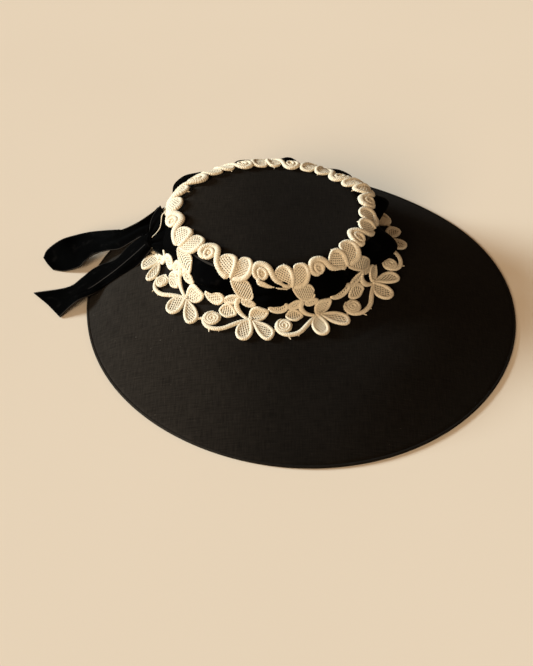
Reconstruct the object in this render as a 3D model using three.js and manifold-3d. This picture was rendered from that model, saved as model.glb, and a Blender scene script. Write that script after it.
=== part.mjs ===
// Picture hat: a low round crown and a wide sloping brim of black cloth, a band of cream corded lace
// round the crown, and a velvet ribbon threaded through the lace and tied at the side.
// Millimetres, +Z up. The wide front of the brim points to -Y, and the hat rests on its brim edge at z = 0.
import * as THREE from "three";
import { mergeVertices } from "three/addons/utils/BufferGeometryUtils.js";
import Module from "manifold-3d";

const wasm = await Module();
wasm.setup();

// Driving dimensions. Radii and places are measured from the crown's upright axis.
const CLOTH = 2;
const GAP = 0.3;
const FOOT_GAP = 0.5;
const CROWN_HEIGHT = 78;
const CROWN_ROUND = 16;
const CROWN_WALL_TOP_RADIUS = 88;
const CROWN_FOOT_RADIUS = 90.5;
const BRIM_FOOT_Z = 38;
const BRIM_RADIUS = 201;
const BRIM_FORWARD = 40.7;
const BRIM_BOW = 3;
const BRIM_WAVE = 1.2;
const BINDING_WIDTH = 4;
const BINDING_HEIGHT = 4;
const BINDING_BEVEL = 1.2;
const BRIM_STEPS = 56;
const BRIM_SHARES = [0, 0.2, 0.45, 0.72, 1];
const CROWN_STEPS = 44;
const CROWN_ROUND_STEPS = 4;

// The crown is egg-shaped: how much further out it goes, as shares that turn with the angle, and where
// the egg's blunt end points. Past EGG_FULL_RADIUS the swelling fades out towards the brim's edge.
const EGG = { turn: THREE.MathUtils.degToRad(35), even: 2.25, blunt: 4.5, side: 1, long: 3.25 };
const EGG_FULL_RADIUS = 100;

// Lace: ten repeats. A chart place has u, the share of a repeat along the band, and s, the distance
// down the band from its upper edge. The band sits higher on the crown at the back.
const REPEATS = 10;
const REPEAT_ANGLE = (2 * Math.PI) / REPEATS;
const LACE_START = THREE.MathUtils.degToRad(43.9);
const LACE_SLIDE = 4;
const LACE_HIGH_ANGLE = THREE.MathUtils.degToRad(55);
const LACE_BRIM_LIFT = 1.2;
const LACE_BRIM_RADII = [103, 112, 121, 130];
const LACE_PITCH = 60;
const LEAF_SIDES = 7;
const LEAF_RIM_SHARE = 0.76;
const LEAF_RIM = 2.4;
const LEAF_DISH = 1.2;
const LEAF_HOLLOW = 0.25;
const CORD_BASE = 0.35;
const CORD_TOP = 2.2;
const CORD_END_TOP = 1;
const CORD_END_SHARE = 0.6;

// Section of the band's back, from its upper edge on the crown to where it meets the brim.
const LACE_SECTION = [
  { r: 69.5, z: 79.4 },
  { r: 75, z: 79.3 },
  { r: 80.5, z: 78.0 },
  { r: 86.0, z: 74.2 },
  { r: 89.8, z: 68.2 },
  { r: 92.4, z: 60.5 },
  { r: 94.8, z: 50.0 },
  { r: 98.0, z: 42.8 },
];

// One repeat of the lace. Leaves and petals run from a base to a tip.
const LEAVES = [
  { name: "narrow leaf", u0: 0.475, s0: 25.5, u1: 0.375, s1: 2, width: 12 },
  { name: "broad leaf", u0: 0.605, s0: 23.5, u1: 0.765, s1: 0.5, width: 16 },
  { name: "drop petal", u0: 0.62, s0: 24.5, u1: 0.765, s1: 41.5, width: 19 },
  { name: "lower leaf", u0: 0.762, s0: 52.6, u1: 0.43, s1: 53, width: 12 },
  { name: "high petal", u0: 0.93, s0: 54.5, u1: 1.22, s1: 45.5, width: 14 },
  { name: "left petal", u0: 0.905, s0: 59, u1: 0.845, s1: 78.5, width: 16.5 },
  { name: "right petal", u0: 0.98, s0: 58.5, u1: 1.25, s1: 74.5, width: 16 },
];
const SCROLLS = [
  { name: "upper scroll", u: 0.03, s: 10.5, radius: 9.8 },
  { name: "lower scroll", u: 0.415, s: 66, radius: 9.6 },
];

// Cords run through chart places, with both ends inside the pieces that they hold together.
const CORDS = [
  { name: "upper stem", width: 5, steps: 4, path: [[0.08, 7], [0.21, 8], [0.27, 17], [0.66, 29]] },
  { name: "leaf base", width: 4.4, steps: 1, path: [[0.53, 26.5], [0.635, 19]] },
  { name: "bride", width: 4, steps: 2, path: [[0.02, 16], [0.17, 24], [0.45, 25]] },
  { name: "side leaves", width: 7, steps: 4, path: [[0.4, 43.8], [0.75, 42.7], [0.92, 44], [1.08, 49]] },
  { name: "stem", width: 5, steps: 3, path: [[0.74, 42.5], [0.72, 47], [0.76, 52], [0.98, 54]] },
  { name: "petal base", width: 5, steps: 2, path: [[0.88, 66], [0.92, 55.5], [1.05, 64]] },
  { name: "lower stem", width: 5, steps: 3, path: [[0.915, 56.5], [0.75, 59.8], [0.61, 68.5], [0.45, 69]] },
];

// Ties reach into the repeat before.
const TIES = [
  { name: "upper tie", width: 3.5, steps: 1, path: [[-0.25, 13], [-0.06, 11]] },
  { name: "smile bar", width: 5, steps: 3, path: [[0.47, 43.8], [0.3, 48.5], [0.1, 49]] },
  { name: "lower tie", width: 3.5, steps: 1, path: [[0.12, 68], [0.36, 66]] },
];

// Ribbon: how far it stands out from the crown's side where it is held and where it puffs.
const RIBBON_THICK = 1.2;
const RIBBON_TOP_Z = 68;
const RIBBON_FOOT_Z = 40.5;
const RIBBON_HELD = 0.7;
const RIBBON_PUFF = 4;
const RIBBON_ROWS = 3;
const RIBBON_STEPS = 50;
const DROP_PETAL_U = 0.67;

// Tie of the ribbon, outside the lace: a gathered knot and the neck that leads back to a window of the
// lace. A neck section has its middle, half its height and half its thickness.
const KNOT = { x: -98.8, y: 62.5, z: 47.6, radius: 8, height: 15 };
const NECK = [
  { x: -96.6, y: 41, z: 57, tall: 4.5, thick: 1.2 },
  { x: -100, y: 46.5, z: 57, tall: 9, thick: 2.5 },
  { x: -99.5, y: 53, z: 53, tall: 10, thick: 4 },
  { x: -98.5, y: 61, z: 48, tall: 6, thick: 5 },
];
const KNOT_SIDES = 8;

// Loose ends of the ribbon, from the knot outwards: the two edges, a and b, and the fold m between them.
const TAIL_THICK = 1.4;
const TAIL_UPPER = [
  { a: [-82, 75, 69], m: [-89.5, 75, 59], b: [-98.6, 71.1, 47.4] },
  { a: [-90, 81, 63], m: [-97, 83, 54], b: [-102, 80, 43] },
  { a: [-100, 87, 55], m: [-105, 89, 47], b: [-108, 86, 36] },
  { a: [-110, 101, 42], m: [-114, 103, 36], b: [-117, 99, 24.5] },
  { a: [-118, 122, 28], m: [-123, 119, 23], b: [-126, 111, 14.5] },
  { a: [-125, 144, 16], m: [-131, 134, 13], b: [-136, 121, 7] },
  { a: [-135, 160, 7], m: [-142, 141, 5], b: [-147, 121, 2.5] },
  { a: [-150, 169, 1.5], m: [-152, 143, 2], b: [-154, 118, 1.2] },
  { a: [-168, 163, 0.6], m: [-168, 142, 1], b: [-168, 121, 0.6] },
  { a: [-177, 153, 0.6], m: [-178, 141, 0.8], b: [-177, 130, 0.6] },
];
const TAIL_LOWER = [
  { a: [-105, 73, 39.5], m: [-106.2, 66, 43.5], b: [-106.3, 59, 39] },
  { a: [-116, 86, 28], m: [-119, 69, 34], b: [-119, 57, 28.5] },
  { a: [-129, 97, 19], m: [-135, 69, 27], b: [-138, 62, 19.5] },
  { a: [-140, 101, 12], m: [-149, 71, 19.5], b: [-152, 66, 12] },
  { a: [-150, 103, 7], m: [-162, 74, 12], b: [-166, 68, 7] },
  { a: [-162, 100, 3.5], m: [-173, 82, 7], b: [-178, 71, 3.5] },
  { a: [-177, 97, 1.5], m: [-184, 84, 3], b: [-188, 69, 1.5] },
  { a: [-204, 107, 0.6], m: [-202, 86, 0.8], b: [-201, 63, 0.6] },
];

// Distance from the crown's axis to a circle round the brim's own middle, in the direction of an angle.
function reach(angle, radius) {
  const ahead = -BRIM_FORWARD * Math.sin(angle);
  return ahead + Math.sqrt(radius * radius - BRIM_FORWARD ** 2 + ahead * ahead);
}

// Moves a place outwards, from a round crown to the egg-shaped one. The brim's edge stays where it is.
function egg(p) {
  const r = Math.hypot(p.x, p.y);
  const angle = Math.atan2(p.y, p.x);
  const turn = angle + EGG.turn;
  const swell = EGG.even - EGG.blunt * Math.cos(turn) - EGG.side * Math.sin(turn) + EGG.long * Math.cos(2 * turn);
  const edge = reach(angle, BRIM_RADIUS - BINDING_WIDTH) - 1;
  const fade = THREE.MathUtils.clamp((edge - r) / (edge - EGG_FULL_RADIUS), 0, 1);
  const share = r < CROWN_WALL_TOP_RADIUS ? r / CROWN_WALL_TOP_RADIUS : fade;
  return polar(angle, r + swell * share, p.z);
}

// Height of the brim's upper face.
function brimTop(angle, r) {
  const edge = reach(angle, BRIM_RADIUS - BINDING_WIDTH);
  const t = (r - CROWN_FOOT_RADIUS) / (edge - CROWN_FOOT_RADIUS);
  const edgeZ = (BINDING_HEIGHT + CLOTH) / 2;
  const hump = 4 * t * (1 - t);
  const wave = BRIM_WAVE * Math.sin(3 * angle + 0.6);
  return BRIM_FOOT_Z + (edgeZ - BRIM_FOOT_Z) * t + hump * (BRIM_BOW + wave);
}

// Radius of the crown's outer face at a height.
function crownRadius(z) {
  const shoulder = CROWN_HEIGHT - CROWN_ROUND;
  if (z > shoulder) {
    return CROWN_WALL_TOP_RADIUS - CROWN_ROUND + Math.sqrt(CROWN_ROUND ** 2 - (z - shoulder) ** 2);
  }
  const t = (shoulder - z) / (shoulder - BRIM_FOOT_Z);
  return CROWN_WALL_TOP_RADIUS + (CROWN_FOOT_RADIUS - CROWN_WALL_TOP_RADIUS) * t;
}

// Solid turned about the upright axis from a closed section, each point moved by a function of its angle.
function turned(section, steps, move) {
  const lathe = new THREE.LatheGeometry(section, steps);
  lathe.rotateX(Math.PI / 2);
  return moved(lathe, (p) => {
    const angle = Math.atan2(p.y, p.x);
    const r = Math.hypot(p.x, p.y);
    return move ? move(angle, r, p.z) : p;
  });
}

// Welds a geometry's shared corners and moves each one by a function.
function moved(geometry, move) {
  geometry.deleteAttribute("normal");
  geometry.deleteAttribute("uv");
  const welded = mergeVertices(geometry, 1e-4);
  const places = welded.attributes.position;
  const p = new THREE.Vector3();
  for (let i = 0; i < places.count; i += 1) {
    p.fromBufferAttribute(places, i);
    const q = move(p);
    places.setXYZ(i, q.x, q.y, q.z);
  }
  return welded;
}

function polar(angle, r, z) {
  return new THREE.Vector3(r * Math.cos(angle), r * Math.sin(angle), z);
}

// Closed strip through sections of equal length, with flat ends.
function lofted(sections) {
  const n = sections[0].length;
  const points = sections.flat();
  const faces = [];
  for (let i = 0; i + 1 < sections.length; i += 1) {
    for (let j = 0; j < n; j += 1) {
      const a = i * n + j;
      const b = i * n + ((j + 1) % n);
      faces.push(b, a, a + n, b + n, b, a + n);
    }
  }
  const last = (sections.length - 1) * n;
  for (let j = 1; j + 1 < n; j += 1) {
    faces.push(0, j, j + 1, last, last + j + 1, last + j);
  }
  const geometry = new THREE.BufferGeometry().setFromPoints(points);
  geometry.setIndex(faces);
  return geometry;
}

function solid(geometry) {
  const vertProperties = new Float32Array(geometry.attributes.position.array);
  const triVerts = new Uint32Array(geometry.index.array);
  return new wasm.Manifold(new wasm.Mesh({ numProp: 3, vertProperties, triVerts }));
}

function joined(solids) {
  return solids.reduce((whole, next) => whole.add(next));
}

function geometryOf(body) {
  const mesh = body.getMesh();
  const geometry = new THREE.BufferGeometry();
  geometry.setAttribute("position", new THREE.BufferAttribute(mesh.vertProperties, 3));
  geometry.setIndex(new THREE.BufferAttribute(mesh.triVerts, 1));
  return geometry;
}

// Crown: outer face from the foot up to the tip, then back down inside.
function crownGeometry() {
  const tipRadius = CROWN_WALL_TOP_RADIUS - CROWN_ROUND;
  const shoulder = CROWN_HEIGHT - CROWN_ROUND;
  const round = (radius) => {
    const quarter = new THREE.EllipseCurve(tipRadius, shoulder, radius, radius, 0, Math.PI / 2);
    return quarter.getPoints(CROWN_ROUND_STEPS);
  };
  const foot = BRIM_FOOT_Z - CLOTH;
  return turned([
    new THREE.Vector2(0, CROWN_HEIGHT - CLOTH),
    ...round(CROWN_ROUND - CLOTH).toReversed(),
    new THREE.Vector2(CROWN_FOOT_RADIUS - CLOTH, foot),
    new THREE.Vector2(CROWN_FOOT_RADIUS, foot),
    ...round(CROWN_ROUND),
    new THREE.Vector2(0, CROWN_HEIGHT),
  ], CROWN_STEPS);
}

// Brim: a ring from the crown's foot to the binding. Its section runs over the share from foot to edge,
// plus 1 so that it stays off the axis while it is turned.
function brimGeometry() {
  const under = BRIM_SHARES.map((t) => new THREE.Vector2(1 + t, -CLOTH));
  const over = BRIM_SHARES.toReversed().map((t) => new THREE.Vector2(1 + t, 0));
  const section = [...under, ...over, under[0]];
  return turned(section, BRIM_STEPS, (angle, share, depth) => {
    const from = CROWN_FOOT_RADIUS + FOOT_GAP;
    const to = reach(angle, BRIM_RADIUS - BINDING_WIDTH);
    const r = from + (to - from) * (share - 1);
    return polar(angle, r, brimTop(angle, r) + depth);
  });
}

// Binding: a rolled edge with a flat underside.
function bindingGeometry() {
  const inner = GAP - BINDING_WIDTH;
  const section = [
    [inner, 0], [-BINDING_BEVEL, 0], [0, BINDING_BEVEL], [0, BINDING_HEIGHT - BINDING_BEVEL],
    [-BINDING_BEVEL, BINDING_HEIGHT], [inner, BINDING_HEIGHT], [inner, 0],
  ].map(([x, z]) => new THREE.Vector2(BRIM_RADIUS + x, z));
  return turned(section, BRIM_STEPS, (angle, radius, z) => polar(angle, reach(angle, radius), z));
}

// Section of the lace band in the upright plane at an angle.
function laceCurve(angle) {
  const onCrown = LACE_SECTION.map(({ r, z }) => new THREE.Vector3(r, 0, z));
  const onBrim = LACE_BRIM_RADII.map((r) => new THREE.Vector3(r, 0, brimTop(angle, r) + LACE_BRIM_LIFT));
  return new THREE.CatmullRomCurve3([...onCrown, ...onBrim]);
}

// Share of the section's length at a distance down the band.
function laceShare(curve, angle, s) {
  const slide = (LACE_SLIDE * (1 - Math.cos(angle - LACE_HIGH_ANGLE))) / 2;
  return THREE.MathUtils.clamp((s + slide) / curve.getLength(), 0, 1);
}

// Place on the hat of a point of the lace chart, at a height above the back of the lace.
function onHat(repeat, u, s, height) {
  const angle = LACE_START + (repeat + u) * REPEAT_ANGLE;
  const curve = laceCurve(angle);
  const share = laceShare(curve, angle, s);
  const { x: r, z } = curve.getPointAt(share);
  const along = curve.getTangentAt(share);
  return polar(angle, r - along.z * height, z + along.x * height);
}

function laceRadius(s) {
  const front = -Math.PI / 2;
  const curve = laceCurve(front);
  return curve.getPointAt(laceShare(curve, front, s)).x;
}

// Flat place of a chart point: x along the band at an even pitch, y up the band.
function flat(u, s) {
  return new THREE.Vector2(u * LACE_PITCH, -s);
}

// Change of x that keeps a motif's true width when the band is laid at its own radius.
function spread(s) {
  return LACE_PITCH / (laceRadius(s) * REPEAT_ANGLE);
}

// Flat oval from base to tip, narrower at the base.
function leafOutline({ u0, s0, u1, s1, width }, share) {
  const stretch = spread((s0 + s1) / 2);
  const base = flat(u0, s0);
  const along = flat(u1, s1).sub(base).divide(new THREE.Vector2(stretch, 1));
  const middle = flat((u0 + u1) / 2, (s0 + s1) / 2);
  const ring = new THREE.EllipseCurve(0, 0, share, share).getPoints(LEAF_SIDES).slice(0, LEAF_SIDES);
  return ring.map((p) => {
    const x = (p.y * width * (1 + 0.2 * p.x)) / 2;
    const y = (p.x * along.length()) / 2;
    const turnedPoint = new THREE.Vector2(y, x).rotateAround(new THREE.Vector2(), along.angle());
    return turnedPoint.multiply(new THREE.Vector2(stretch, 1)).add(middle);
  });
}

function scrollOutline({ u, s, radius }, share) {
  const ring = new THREE.EllipseCurve(0, 0, radius * share * spread(s), radius * share);
  return ring.getPoints(LEAF_SIDES).slice(0, LEAF_SIDES).map((p) => p.add(flat(u, s)));
}

function atHeight(outline, z) {
  return outline.map((p) => new THREE.Vector3(p.x, p.y, z));
}

// Dished oval: a bevel from the outline up to a rim, a dish inside it, and a back that is a little hollow.
function dished(outline, rim, middle) {
  const n = outline.length;
  const points = [
    ...atHeight(outline, 0),
    ...atHeight(rim, LEAF_RIM),
    ...atHeight([middle], LEAF_DISH),
    ...atHeight([middle], LEAF_HOLLOW),
  ];
  const faces = [];
  for (let j = 0; j < n; j += 1) {
    const k = (j + 1) % n;
    faces.push(j, k, n + j, k, n + k, n + j);
    faces.push(n + j, n + k, 2 * n, k, j, 2 * n + 1);
  }
  const geometry = new THREE.BufferGeometry().setFromPoints(points);
  geometry.setIndex(faces);
  return solid(geometry);
}

function leaf(row) {
  const middle = flat((row.u0 + row.u1) / 2, (row.s0 + row.s1) / 2);
  return dished(leafOutline(row, 1), leafOutline(row, LEAF_RIM_SHARE), middle);
}

function scroll(row) {
  return dished(scrollOutline(row, 1), scrollOutline(row, LEAF_RIM_SHARE), flat(row.u, row.s));
}

// Cord: a ridge along a curve through its chart places, with low narrow ends.
function cord({ path, steps, width }) {
  const curve = new THREE.SplineCurve(path.map(([u, s]) => flat(u, s)));
  const sections = [];
  for (let i = 0; i <= steps; i += 1) {
    const atEnd = i === 0 || i === steps;
    const half = (atEnd ? CORD_END_SHARE * width : width) / 2;
    const along = curve.getTangent(i / steps);
    const across = new THREE.Vector2(-along.y, along.x).multiplyScalar(half);
    const place = curve.getPoint(i / steps);
    const foot = atHeight([place.clone().add(across), place.clone().sub(across)], CORD_BASE);
    sections.push([...foot, ...atHeight([place], atEnd ? CORD_END_TOP : CORD_TOP)]);
  }
  return solid(lofted(sections));
}

// One repeat of the lace, flat.
function flatRepeat() {
  return joined([...LEAVES.map(leaf), ...SCROLLS.map(scroll), ...CORDS.map(cord), ...TIES.map(cord)]);
}

// The band: each repeat is laid on the hat, and the ten are fused by their ties.
function laceGeometry() {
  const repeat = geometryOf(flatRepeat());
  const laidRepeats = [];
  for (let i = 0; i < REPEATS; i += 1) {
    laidRepeats.push(solid(moved(repeat.clone(), (p) => onHat(i, p.x / LACE_PITCH, -p.y, p.z))));
  }
  return geometryOf(joined(laidRepeats));
}

// Ribbon round the crown: a thin ring held at each drop petal and puffed out between them.
function ribbonBandGeometry() {
  const heights = [];
  for (let i = 0; i <= RIBBON_ROWS; i += 1) {
    heights.push(RIBBON_FOOT_Z + ((RIBBON_TOP_Z - RIBBON_FOOT_Z) * i) / RIBBON_ROWS);
  }
  const outer = heights.map((z) => new THREE.Vector2(2, z));
  const inner = heights.toReversed().map((z) => new THREE.Vector2(1, z));
  return turned([...outer, ...inner, outer[0]], RIBBON_STEPS, (angle, layer, z) => {
    const phase = (angle - LACE_START) / REPEAT_ANGLE - DROP_PETAL_U;
    const rise = (z - RIBBON_FOOT_Z) / (RIBBON_TOP_Z - RIBBON_FOOT_Z);
    const puff = RIBBON_PUFF * Math.sin(Math.PI * phase) ** 2 * Math.max(Math.sin(Math.PI * rise), 0) ** 1.5;
    const thick = layer > 1.5 ? RIBBON_THICK : 0;
    return polar(angle, crownRadius(z) + RIBBON_HELD + puff + thick, z);
  });
}

// Loose end: a thin strip through its rows of edge, fold and edge. Its two faces share their diagonals,
// so the wall stays even where the strip twists.
function tailGeometry(rows) {
  const under = rows.flatMap(({ a, m, b }) => [b, m, a].map((p) => new THREE.Vector3(...p)));
  const over = under.map((p) => p.clone().setZ(p.z + TAIL_THICK));
  const up = under.length;
  const faces = [];
  const wall = (p, q) => faces.push(p, q, q + up, p, q + up, p + up);
  for (let k = 0; k + 3 < up; k += 3) {
    for (const p of [k, k + 1]) {
      const cell = [p + 1, p, p + 3, p + 4, p + 1, p + 3];
      faces.push(...cell, ...cell.map((c) => c + up).toReversed());
    }
    wall(k + 3, k);
    wall(k + 2, k + 5);
  }
  for (const p of [0, 1]) {
    wall(p, p + 1);
    wall(up - 2 + p, up - 3 + p);
  }
  const geometry = new THREE.BufferGeometry().setFromPoints([...under, ...over]);
  geometry.setIndex(faces);
  return geometry;
}

// Knot: a gathered round of ribbon, fused with the neck that comes out of the lace.
function knotGeometry() {
  const section = [[0, -0.5], [0.75, -0.42], [1, -0.12], [0.9, 0.2], [0.6, 0.45], [0, 0.5]]
    .map(([r, z]) => new THREE.Vector2(r * KNOT.radius, z * KNOT.height));
  const knot = moved(new THREE.LatheGeometry(section, KNOT_SIDES).rotateX(Math.PI / 2), (p) => p);
  knot.translate(KNOT.x, KNOT.y, KNOT.z);
  const neck = lofted(NECK.map(({ x, y, z, tall, thick }) => {
    const ring = new THREE.EllipseCurve(0, 0, thick, tall).getPoints(KNOT_SIDES).slice(0, KNOT_SIDES);
    return ring.map((p) => new THREE.Vector3(x + p.x, y, z + p.y));
  }));
  return geometryOf(joined([solid(knot), solid(neck)]));
}

function piece(name, geometry, color, roughness) {
  const material = new THREE.MeshStandardMaterial({ color, roughness, metalness: 0 });
  const mesh = new THREE.Mesh(geometry, material);
  mesh.name = name;
  return mesh;
}

const CLOTH_BLACK = "#26221f";
const LACE_CREAM = "#efe4c8";
const VELVET_BLACK = "#0a0909";
const hat = new THREE.Group();
hat.add(
  piece("crown", moved(crownGeometry(), egg), CLOTH_BLACK, 0.85),
  piece("brim", moved(brimGeometry(), egg), CLOTH_BLACK, 0.85),
  piece("edge_binding", bindingGeometry(), CLOTH_BLACK, 0.8),
  piece("lace_band", moved(laceGeometry(), egg), LACE_CREAM, 0.75),
  piece("ribbon_band", moved(ribbonBandGeometry(), egg), VELVET_BLACK, 0.9),
  piece("ribbon_knot", knotGeometry(), VELVET_BLACK, 0.9),
  piece("ribbon_tail_upper", tailGeometry(TAIL_UPPER), VELVET_BLACK, 0.9),
  piece("ribbon_tail_lower", tailGeometry(TAIL_LOWER), VELVET_BLACK, 0.9),
);

// The origin is under the middle of the whole hat's box, on the table.
const box = new THREE.Box3().setFromObject(hat);
hat.position.set(-(box.min.x + box.max.x) / 2, -(box.min.y + box.max.y) / 2, 0);

export default hat;
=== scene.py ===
"""Picture hat on a pale table: black cloth crown and brim, cream corded lace, black velvet ribbon."""
import math

import bpy
import numpy as np
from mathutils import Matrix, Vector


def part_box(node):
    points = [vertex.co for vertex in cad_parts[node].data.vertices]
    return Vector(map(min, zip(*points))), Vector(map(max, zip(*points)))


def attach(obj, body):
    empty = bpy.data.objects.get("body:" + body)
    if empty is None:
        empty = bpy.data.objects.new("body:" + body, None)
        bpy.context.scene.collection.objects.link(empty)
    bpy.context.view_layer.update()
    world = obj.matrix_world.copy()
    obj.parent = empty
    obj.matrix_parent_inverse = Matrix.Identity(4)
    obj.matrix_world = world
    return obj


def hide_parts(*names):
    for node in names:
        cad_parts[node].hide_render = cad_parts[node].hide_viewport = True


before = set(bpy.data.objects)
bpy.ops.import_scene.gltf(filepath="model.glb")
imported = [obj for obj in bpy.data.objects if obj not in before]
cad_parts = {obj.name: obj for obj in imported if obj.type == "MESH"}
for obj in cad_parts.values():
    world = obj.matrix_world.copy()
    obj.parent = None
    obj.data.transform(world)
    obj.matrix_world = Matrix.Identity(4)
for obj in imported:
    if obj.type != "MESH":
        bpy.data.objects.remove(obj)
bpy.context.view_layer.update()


# Crown: a low egg-shaped cap of black plain-woven cloth, pressed over a stiff foundation. The flat tip,
# the rounded upper edge and the side are one piece, and the raw foot is turned under inside the brim.
# Places are in millimetres from the crown's axis and the table.
crown_low, crown_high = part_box("crown")
edge_middle = np.mean(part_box("edge_binding"), 0)
BRIM_RADIUS = 201.0
BRIM_FORWARD = 40.7
BINDING_WIDTH = 4.0
BRIM_FOOT_Z = 38.0
CROWN_AXIS = np.array([edge_middle[0], edge_middle[1] + BRIM_FORWARD * 0.001, 0.0])
CROWN_TURN = math.radians(35)
CROWN_FOOT_Z = crown_low[2] * 1000
CROWN_TOP_Z = crown_high[2] * 1000
CROWN_ROUND = 16.0
CROWN_SHOULDER_Z = CROWN_TOP_Z - CROWN_ROUND
CROWN_WALL_R = 88.0
CROWN_FOOT_R = 90.5
CROWN_CHART_R = 89.0
CROWN_SPOKES = 145
TIP_RINGS = 16
ROUND_RINGS = 15
ROUND_FIRST = 84
WALL_RINGS = 11
TIP_HOLE_R = 0.05
TIP_DENT_R = 80.0
TIP_DENT = 0.5
TIP_DEEP = 6.0
TIP_SWAY_TWO = 0.0125
TIP_SWAY_THREE = 0.008
EGG_EVEN = 2.25
EGG_END = 4.5
EGG_SIDE = 1.0
EGG_LONG = 3.25
EGG_FULL_R = 100.0
CLOTH = 2.0
CLOTH_COLOUR = (0.0068, 0.0057, 0.0047)
CLOTH_TINT = (1.0, 0.92, 0.84, 1.0)
YARN_PITCH = 0.9
YARN_STRETCH = 0.08
SLUB_SHADE = (1.45, -0.5)
CLOUD_SHADE = 0.5
CROSSING_SHADE = 0.1
CROSSING_HEIGHT = 0.35
LINT_LEVEL = 0.755
LINT_COLOUR = (0.03, 0.026, 0.022, 1.0)
# Painted light: the cloth's colour grows paler towards the side that the low key light comes from.
PAINTED_LIGHT_SIDE = (-0.82, 0.57, 0.0)
PAINTED_LIGHT_REACH = 0.13
PAINTED_LIGHT_SHADES = (0.8, 2.0)


def reach(angle, radius):
    """Distance from the crown's axis to a circle round the brim's own middle."""
    ahead = -BRIM_FORWARD * np.sin(angle)
    return ahead + np.sqrt(radius ** 2 - BRIM_FORWARD ** 2 + ahead ** 2)


def crown_radius(z):
    """Radius of the crown's outer face at a height."""
    over = np.clip(z - CROWN_SHOULDER_Z, 0, CROWN_ROUND)
    rounded = CROWN_WALL_R - CROWN_ROUND + np.sqrt(CROWN_ROUND ** 2 - over ** 2)
    down = (CROWN_SHOULDER_Z - z) / (CROWN_SHOULDER_Z - BRIM_FOOT_Z)
    return np.where(z > CROWN_SHOULDER_Z, rounded, CROWN_WALL_R + (CROWN_FOOT_R - CROWN_WALL_R) * down)


def around(r, angle, z):
    """Places from their radius, angle and height."""
    return np.stack(np.broadcast_arrays(r * np.cos(angle), r * np.sin(angle), z), -1)


def chart_places(along, across):
    """Chart places from their two measures."""
    return np.stack(np.broadcast_arrays(along, across), -1)


def oval(points):
    """Places moved outwards to the crown's egg-shaped outline. The brim's edge stays where it is."""
    angle = np.arctan2(points[..., 1], points[..., 0])
    r = np.hypot(points[..., 0], points[..., 1])
    turn = angle + CROWN_TURN
    swell = EGG_EVEN - EGG_END * np.cos(turn) - EGG_SIDE * np.sin(turn) + EGG_LONG * np.cos(2 * turn)
    edge = reach(angle, BRIM_RADIUS - BINDING_WIDTH) - 1
    outside = np.clip((edge - r) / (edge - EGG_FULL_R), 0, 1)
    share = np.where(r < CROWN_WALL_R, r / CROWN_WALL_R, outside)
    wider = (r + swell * share) / np.maximum(r, 1e-6)
    return np.concatenate([points[..., :2] * wider[..., None], points[..., 2:]], -1)


def placed(name, data):
    """New object in the scene."""
    piece = bpy.data.objects.new(name, data)
    bpy.context.scene.collection.objects.link(piece)
    return piece


def quad_piece(name, points, quads, uv):
    """Piece from places in millimetres round the crown's axis, four-cornered faces and chart places."""
    points = points.reshape(-1, 3)
    uv = uv.reshape(-1, 2)
    mesh = bpy.data.meshes.new(name)
    mesh.vertices.add(len(points))
    mesh.vertices.foreach_set("co", (points * 0.001 + CROWN_AXIS).astype(np.float32).ravel())
    mesh.loops.add(quads.size)
    mesh.loops.foreach_set("vertex_index", quads.astype(np.int32).ravel())
    mesh.polygons.add(len(quads))
    mesh.polygons.foreach_set("loop_start", np.arange(0, quads.size, 4, dtype=np.int32))
    mesh.polygons.foreach_set("use_smooth", np.ones(len(quads), bool))
    layer = mesh.uv_layers.new(name="chart")
    layer.data.foreach_set("uv", uv[quads.ravel()].astype(np.float32).ravel())
    mesh.update(calc_edges=True)
    piece = placed(name, mesh)
    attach(piece, "root")
    return piece


def grid_quads(rows, columns, round_columns=False, round_rows=False):
    """Faces of a net of places that are listed row by row."""
    number = np.arange(rows * columns).reshape(rows, columns)
    if round_rows:
        number = np.vstack([number, number[:1]])
    if round_columns:
        number = np.hstack([number, number[:, :1]])
    corners = number[:-1, :-1], number[:-1, 1:], number[1:, 1:], number[1:, :-1]
    return np.stack([corner.ravel() for corner in corners], 1)


def on_grain(points):
    """Chart places of flat cloth, with the warp and weft turned as the piece was cut."""
    c = math.cos(CROWN_TURN)
    k = math.sin(CROWN_TURN)
    x = points[..., 0]
    y = points[..., 1]
    return chart_places(x * c - y * k, x * k + y * c)


def run_lengths(places):
    """Distance of each place from the first, along their line."""
    return np.concatenate([[0], np.cumsum(np.linalg.norm(np.diff(places, axis=0), axis=1))])


def node(tree, kind, values=None, **settings):
    """New shader node with its settings, input values and links."""
    made = tree.nodes.new(kind)
    for key, value in settings.items():
        setattr(made, key, value)
    for key, value in (values or {}).items():
        if isinstance(value, bpy.types.NodeSocket):
            tree.links.new(value, made.inputs[key])
        else:
            made.inputs[key].default_value = value
    return made


def math_node(tree, operation, *values):
    """Output of a math node."""
    return node(tree, "ShaderNodeMath", dict(enumerate(values)), operation=operation).outputs[0]


def noise_node(tree, place, scale, detail):
    """Value of a noise."""
    values = {"Vector": place, "Scale": scale, "Detail": detail}
    return node(tree, "ShaderNodeTexNoise", values).outputs["Fac"]


def mix_node(tree, share, first, second):
    """Colour between two colours."""
    return node(tree, "ShaderNodeMix", {0: share, 6: first, 7: second}, data_type="RGBA").outputs[2]


def scale_node(tree, colour, by):
    """Colour times a value."""
    return node(tree, "ShaderNodeVectorMath", {0: colour, 3: by}, operation="SCALE").outputs[0]


def group_tree(name):
    """Shader node group that finds a shade and a height for a place: tree, place and output node."""
    tree = bpy.data.node_groups.new(name, "ShaderNodeTree")
    tree.interface.new_socket("Place", in_out="INPUT", socket_type="NodeSocketVector")
    for label in ("Shade", "Height"):
        tree.interface.new_socket(label, in_out="OUTPUT", socket_type="NodeSocketFloat")
    return tree, tree.nodes.new("NodeGroupInput").outputs["Place"], tree.nodes.new("NodeGroupOutput")


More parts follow.
